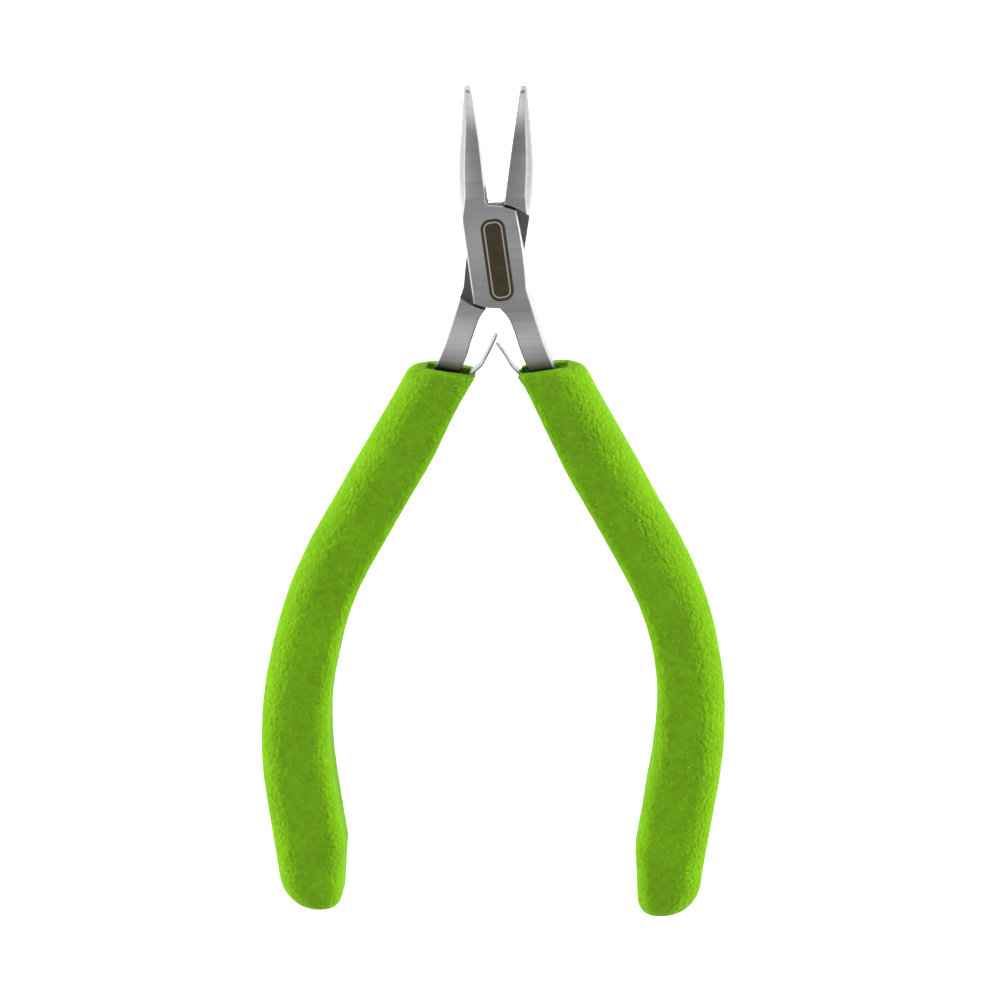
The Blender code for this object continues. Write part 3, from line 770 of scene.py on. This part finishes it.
def grip_section(distance):
    """Section of the foam a distance below its mouth, in the grip's own (offset, height)."""
    half = 0.5 * mix(GRIP_W_TOP, GRIP_W_LOW, eased(distance, GRIP_SWELL_FROM, GRIP_SWELL_OVER))
    left, right = -half, half
    depth = 0.5 * GRIP_DEPTH
    to_end = GRIP_LENGTH - distance
    if to_end < GRIP_END_ROUND:
        right -= GRIP_END_IN * quarter_round(1.0 - to_end / GRIP_END_ROUND)
    if to_end < GRIP_HEEL:
        left += GRIP_HEEL_IN * (1.0 - to_end / GRIP_HEEL)
    if to_end < GRIP_CAP:
        share = quarter_round(1.0 - to_end / GRIP_CAP)
        left += GRIP_CAP_IN_INNER * share
        right -= GRIP_CAP_IN_OUTER * share
        depth -= GRIP_CAP_IN_Z * share
    limit = WIDEST_CORNER * (right - left)
    inner = min(mix(*INNER_CORNER, eased(distance, *INNER_CORNER_OVER)), limit)
    outer = min(mix(*OUTER_CORNER, eased(distance, *OUTER_CORNER_OVER)), DEEPEST_CORNER * depth, limit)
    return section(left, right, depth, inner, outer, CROWN, RING_POINTS)


def grip_points(distance, shape, side):
    """Places section points in the closed lever's frame. The mouth is cut square to the lever."""
    x, y, lean = grip_middle(distance)
    square = GRIP_LEAN * (1.0 - eased(distance, 0.0, GRIP_SQUARE_OVER))
    reach = shape[:, 0] / math.cos(square)
    line = lean - square
    x += side * mix(*GRIP_SWAY, eased(distance, *GRIP_SWAY_OVER))
    inner = np.clip(0.5 - shape[:, 0] / GRIP_W_TOP, 0.0, 1.0)
    trim = MOUTH_TRIM[side] * (1.0 - eased(distance, 0.0, MOUTH_TRIM_OVER)) * inner
    near = 1.0 - eased(distance, 0.0, MOUTH_DROP_OVER)
    drop = near * (MOUTH_DROP[side] - MOUTH_REAR * (0.5 - shape[:, 1] / GRIP_DEPTH))
    across, down = reach * math.cos(line) + trim, reach * math.sin(line) - drop
    return np.stack([x + across, y + down, shape[:, 1]], axis=1)


def hole_outline(left, right, half_depth, corner):
    """The pocket's outline, sampled to face the grip's own points."""
    return section(left, right, half_depth, corner, corner, 0.0, RING_POINTS)


def rim_rings(side):
    """The rim: each point rolls over towards the pocket's edge in the mouth plane."""
    outer = grip_section(0.0)
    hole = hole_outline(MOUTH_X[0] - GRIP_TOP_X, MOUTH_X[1] - GRIP_TOP_X, MOUTH_HALF_DEPTH, MOUTH_CORNER)
    gap = hole - outer
    wall = np.hypot(gap[:, 0], gap[:, 1])
    inward = gap / wall[:, None]
    rounder = np.array([eased(x / (0.5 * GRIP_W_TOP), *RIM_OUTER_FROM) for x in outer[:, 0]])
    radius = np.minimum(mix(RIM_ROUND, RIM_ROUND_OUTER, rounder), RIM_MOST * wall)
    rings = []
    for turn in np.radians(steps(0.0, 90.0, 8)):
        move = inward * (radius * (1.0 - math.cos(turn)))[:, None]
        drops = radius * (1.0 - math.sin(turn))
        rings.append(np.array([
            grip_points(max(0.0, drop), np.array([point]), side)[0]
            for drop, point in zip(drops, outer + move)
        ]))
    for share in (0.5, 1.0):
        flat = outer + inward * (mix(radius, np.maximum(radius, wall - LIP), share))[:, None]
        rings.append(grip_points(0.0, flat, side))
    for turn in np.radians(steps(20.0, 90.0, 3)):
        edge = outer + inward * (wall - LIP * (1.0 - math.sin(turn)))[:, None]
        ring = grip_points(0.0, edge, side)
        ring[:, 1] -= LIP * (1.0 - math.cos(turn))
        rings.append(ring)
    return rings


def pocket_rings():
    """The pocket: wide at the mouth, then the tang's outline with a small gap."""
    rings = []
    for depth in POCKET_DEPTHS:
        share = smooth_step(depth / POCKET_NARROW_OVER)
        left, right = (mix(top, low, share) + drift * depth
                       for top, low, drift in zip(MOUTH_X, POCKET_X, POCKET_DRIFT))
        middle = 0.5 * (left + right)
        shape = hole_outline(left - middle, right - middle, MOUTH_HALF_DEPTH, MOUTH_CORNER)
        level = np.full(RING_POINTS, GRIP_TOP_Y - depth)
        rings.append(np.stack([middle + shape[:, 0], level, shape[:, 1]], axis=1))
    for left, right in tang_pairs():
        if max(left[1], right[1]) > TANG_FIT_Y:
            continue
        ease = 1.0 - eased(TANG_FIT_Y - right[1], 0.0, TANG_FIT_OVER)
        middle = 0.5 * (Vector(left) + Vector(right))
        across = Vector(right) - Vector(left)
        half_w = 0.5 * across.length + POCKET_GAP + POCKET_EASE_X * ease
        half_depth = 0.5 * ARM_T + POCKET_GAP + POCKET_EASE_Z * ease
        across.normalize()
        shape = hole_outline(-half_w, half_w, half_depth, POCKET_CORNER)
        x, y = (middle[k] + across[k] * shape[:, 0] for k in (0, 1))
        rings.append(np.stack([x, y, shape[:, 1]], axis=1))
    onward = np.subtract(grip_middle(TANG_END)[:2], grip_middle(TANG_END - 1.0)[:2])
    end = rings[-1].copy()
    end[:, :2] += POCKET_END * onward
    return rings + [end]


def foam_relief(point, side):
    """How far the skin stands out at a point, in millimetres: soft dents and pebbled cells."""
    offset = Vector((17.0 * side, 0.0, 3.0))    # each grip has a pattern of its own
    dents = noise.noise(point * DENTS[0] + offset) * DENTS[1]
    lumps = noise.noise(point * LUMPS[0] + offset) * LUMPS[1]
    cells = noise.voronoi(point * CELLS[0] + offset)[0][0]
    return dents + lumps + CELLS[1] * (0.5 - cells) - RELIEF_SINK


def roughen(obj, side, skin_points):
    """Moves the outer skin's points, which come first, along their normals by the foam's relief."""
    mesh = obj.data
    to_lever = place(side).inverted()
    normals = [v.normal.copy() for v in mesh.vertices]
    for vertex, normal in zip(mesh.vertices[:skin_points], normals):
        vertex.co += normal * foam_relief(to_lever @ vertex.co, side) * MM
        vertex.co.z = max(vertex.co.z, LIFT * MM)
    mesh.update()


def foam_grip(name, side, material):
    """A hollow foam sleeve: pebbled skin, rolled irregular rim, and a pocket for the tang."""
    matrix = place(side)
    count = int(round((GRIP_LENGTH - 3.0) / SKIN_STEP))
    distances = [GRIP_LENGTH - to_end for to_end in END_RINGS]
    distances += reversed(steps(RIM_ROUND_OUTER, GRIP_LENGTH - SKIN_TO_END, count))
    outside = [grip_points(distance, grip_section(distance), side) for distance in distances]
    outside += rim_rings(side)
    rings = outside + pocket_rings()
    obj = add_object(name, skin([[matrix @ Vector(p) for p in ring] for ring in rings]), material, 60.0)
    roughen(obj, side, len(outside) * RING_POINTS)
    return obj


# ---------------------------------------------------------------- leaf springs
def leaf_spring(node, points, side, material):
    """A tapered strip with softened edges that bends from its seat in the arm."""
    matrix = place(side)
    path = smooth_path(points)
    last = len(path) - 1
    rings = []
    for i, point in enumerate(path):
        run = (path[min(i + 1, last)] - path[max(i - 1, 0)]).normalized()
        across = Vector((-run.y, run.x))
        half_w = 0.5 * mix(LEAF_W_ROOT, LEAF_W_TIP, smooth_step(i / last))
        to_tip = (path[-1] - point).length
        if to_tip < LEAF_TIP_ROUND:
            half_w *= mix(1.0, LEAF_TIP_SHARE, quarter_round(1.0 - to_tip / LEAF_TIP_ROUND))
        lean = LEAF_LEAN[side] * smooth_step(i / (0.25 * last))
        ring = []
        for offset, height in section(-0.5 * LEAF_T, 0.5 * LEAF_T, half_w, LEAF_CORNER, LEAF_CORNER, 0.0, 24):
            x, y = point + across * offset
            back = lean * 0.5 * (1.0 - height / half_w)
            ring.append(matrix @ Vector((x + back, y, height)))
        rings.append(ring)
    obj = add_object(node + "_strip", skin(rings), material, 50.0)
    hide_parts(node)
    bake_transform(obj)


# ---------------------------------------------------------------- etched panel
PANEL_L = 14.2
PANEL_W = 4.25
PANEL_R = 1.75
PANEL_INSET = 0.52          # from the panel's edge to the line inside it
PANEL_LINE = 0.22           # width of that line
PANEL_AT = (0.34, -0.50)
PANEL_FACE = 0.5 * JOINT_T
PANEL_HALF_T = 0.02         # the thin plate stands half in and half out of the face
LINE_HEIGHTS = (-0.01, 0.03)


def panel_outline(inset):
    half_w = 0.5 * PANEL_W - inset
    return section(-half_w, half_w, 0.5 * PANEL_L - inset, PANEL_R - inset, PANEL_R - inset, 0.0, 96)


def panel_piece(name, rings, material, tube=False):
    """A thin piece on the front lever's face, from (outline, height above the face) pairs."""
    matrix = place(1)
    placed = [
        [matrix @ Vector((PANEL_AT[0] + x, PANEL_AT[1] + y, PANEL_FACE + height)) for x, y in outline]
        for outline, height in rings
    ]
    obj = add_object(name, skin(placed, tube), material, 30.0)
    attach(obj, "front_lever")


def etched_panel():
    """A dark etched plate with a thin bare line inside its edge."""
    plate = panel_outline(0.0)
    shoulder = mix(-PANEL_HALF_T, PANEL_HALF_T, 0.6)
    plate_rings = [(plate, -PANEL_HALF_T), (plate, shoulder), (plate * 0.985, PANEL_HALF_T)]
    panel_piece("etched_panel", plate_rings, etched_material())
    outside, inside = panel_outline(PANEL_INSET), panel_outline(PANEL_INSET + PANEL_LINE)
    low, high = LINE_HEIGHTS
    line_rings = [(outside, low), (outside, high), (inside, high), (inside, low)]
    bare = brushed_steel("etched_line", (0.62, 0.61, 0.58), 0.36)
    panel_piece("etched_border", line_rings, bare, tube=True)


# ---------------------------------------------------------------- light, floor and camera
SURROUND_PEAK = 2.5
SURROUND = (    # (height of the direction, radiance, warmth) from the horizon to overhead
    (0.0, 2.10, 1.0), (0.12, 2.20, 1.0), (0.36, 2.05, 1.0), (0.58, 1.85, 0.9),
    (0.73, 1.30, 0.6), (0.84, 0.46, 0.0), (1.0, 0.355, 0.0),
)
WARM = Vector((0.0, 0.018, 0.050))      # what full warmth takes from red, green and blue
FRONT_WALL_Y = (-0.9, -0.2)             # the wall below the picture dims between these directions
FRONT_WALL = 0.56
SOFTBOX_TOWARD = Vector((0.0, -0.66, 0.75)).normalized()
SOFTBOX_EDGE = (0.915, 0.975)           # cosines from its middle where it starts and is full
SOFTBOX_LEVEL = 0.85
SOFT_LIGHTS = (     # (toward the light, irradiance, soft angle in degrees)
    ((0.0, 0.0, 1.0), 1.10, 90.0),
    ((-1.0, -0.10, 0.09), 5.9, 30.0),
    ((1.0, -0.10, 0.09), 5.9, 30.0),
    ((0.0, 1.0, 0.15), 1.9, 40.0),
)
CAMERA_TARGET = Vector((0.92, 0.789, 7.0))
CAMERA_TOWARD = Vector((0.0411, 0.1719, 1.0)).normalized()
CAMERA_DISTANCE = 650.0
CAMERA_ROLL = math.radians(-0.2267)
VIEW_WIDTH = 173.75         # what the picture's width takes in at the target
SENSOR = 36.0
FLOOR_HALF = 2.0            # metres


def add_world():
    """Soft studio surround, seen only in reflections: grey overhead, bright walls and one softbox."""
    world = bpy.data.worlds.new("studio")
    bpy.context.scene.world = world
    world.use_nodes = True
    tree = world.node_tree

    def node(kind, links=(), numbers=(), **settings):
        made = tree.nodes.new(kind)
        for key, value in settings.items():
            setattr(made, key, value)
        for socket, output in links:
            tree.links.new(output, made.inputs[socket])
        for socket, number in numbers:
            made.inputs[socket].default_value = number
        return made

    ways = tree.nodes.new("ShaderNodeTexCoord").outputs["Generated"]
    split = node("ShaderNodeSeparateXYZ", [("Vector", ways)])
    ramp = node("ShaderNodeValToRGB", [("Fac", split.outputs["Z"])])
    elements = ramp.color_ramp.elements
    while len(elements) < len(SURROUND):
        elements.new(0.5)
    for element, (position, level, warmth) in zip(elements, SURROUND):
        element.position = position
        share = level / SURROUND_PEAK
        element.color = (*(share * (1.0 - warmth * c) for c in WARM), 1.0)
    front = node("ShaderNodeMapRange", [("Value", split.outputs["Y"])],
                 [("From Min", FRONT_WALL_Y[0]), ("From Max", FRONT_WALL_Y[1]), ("To Min", FRONT_WALL),
                  ("To Max", 1.0)])
    walls = node("ShaderNodeVectorMath", [(0, ramp.outputs["Color"]), ("Scale", front.outputs["Result"])],
                 operation="SCALE")
    near = node("ShaderNodeVectorMath", [(0, ways)], [(1, SOFTBOX_TOWARD)], operation="DOT_PRODUCT")
    box = node("ShaderNodeMapRange", [("Value", near.outputs["Value"])],
               [("From Min", SOFTBOX_EDGE[0]), ("From Max", SOFTBOX_EDGE[1]), ("To Min", 0.0),
                ("To Max", SOFTBOX_LEVEL / SURROUND_PEAK)],
               interpolation_type="SMOOTHSTEP")
    both = node("ShaderNodeVectorMath", [(0, walls.outputs["Vector"]), (1, box.outputs["Result"])],
                operation="ADD")
    world.cycles_visibility.diffuse = False
    background = tree.nodes["Background"]
    tree.links.new(both.outputs["Vector"], background.inputs["Color"])
    background.inputs["Strength"].default_value = SURROUND_PEAK


def add_soft_lights():
    """Very soft lights overhead and low at the sides: they shape the matt foam, not the steel."""
    for index, (toward, strength, angle) in enumerate(SOFT_LIGHTS):
        data = bpy.data.lights.new(f"soft_light_{index}", "SUN")
        data.energy = strength
        data.angle = math.radians(angle)
        light = bpy.data.objects.new(data.name, data)
        light.rotation_euler = Vector(toward).to_track_quat("Z", "Y").to_euler()
        light.visible_glossy = False
        bpy.context.collection.objects.link(light)


def add_camera():
    """A long lens nearly straight above the pliers, leaning a little towards the tips."""
    toward = CAMERA_TOWARD
    up = (Vector((0.0, 1.0, 0.0)) - toward.y * toward).normalized()
    right = up.cross(toward)
    cos, sin = math.cos(CAMERA_ROLL), math.sin(CAMERA_ROLL)
    up, right = cos * up + sin * right, cos * right - sin * up
    data = bpy.data.cameras.new("camera")
    data.sensor_width = SENSOR
    data.lens = SENSOR * CAMERA_DISTANCE / VIEW_WIDTH
    data.clip_start, data.clip_end = 0.01, 20.0
    camera = bpy.data.objects.new("camera", data)
    rotation = Matrix((right, up, toward)).transposed().to_4x4()
    camera.matrix_world = Matrix.Translation((CAMERA_TARGET + toward * CAMERA_DISTANCE) * MM) @ rotation
    bpy.context.collection.objects.link(camera)
    bpy.context.scene.camera = camera


def add_floor():
    bm = bmesh.new()
    bmesh.ops.create_grid(bm, x_segments=8, y_segments=8, size=FLOOR_HALF)
    floor = add_object("floor", bm, floor_material())


# ---------------------------------------------------------------- assembly
WELD_DISTANCE = 0.000002    # metres


def dress_node(name, material):
    """A CAD node keeps its mesh, welded and shaded smooth, and gets a new material."""
    node = frame["nodes"][name]
    node.data.materials.clear()
    node.data.materials.append(material)
    weld = node.modifiers.new("weld", "WELD")
    weld.merge_threshold = WELD_DISTANCE
    node.data.shade_smooth()


def main():
    bpy.context.scene.view_settings.view_transform = "Standard"
    add_world()
    add_soft_lights()
    add_camera()
    add_floor()
    foam = foam_material()
    # the arm tones given here are painted shade on the arms
    front_steel = brushed_steel("front_steel", (0.78, 0.78, 0.79), 0.30, side=1, arm_shade_tone=0.57)
    rear_steel = brushed_steel("rear_steel", (0.70, 0.70, 0.71), 0.30, side=-1, arm_shade_tone=0.70)
    lever("front_lever", 1, FRONT_WIDER, front_steel)
    lever("rear_lever", -1, REAR_WIDER, rear_steel)
    dress_node("pivot_screw", brushed_steel("screw_steel", (0.46, 0.46, 0.47), 0.34))
    spring = brushed_steel("spring_steel", (0.37, 0.37, 0.38), 0.26, fine=0.6)
    leaf_spring("right_leaf_spring", SHORT_LEAF, 1, spring)
    leaf_spring("left_leaf_spring", LONG_LEAF, -1, spring)
    for name, side, body in (("right_grip", 1, "front_lever"), ("left_grip", -1, "rear_lever")):
        grip = foam_grip(name + "_foam", side, foam)
        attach(grip, body)
        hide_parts(name)
    etched_panel()


main()
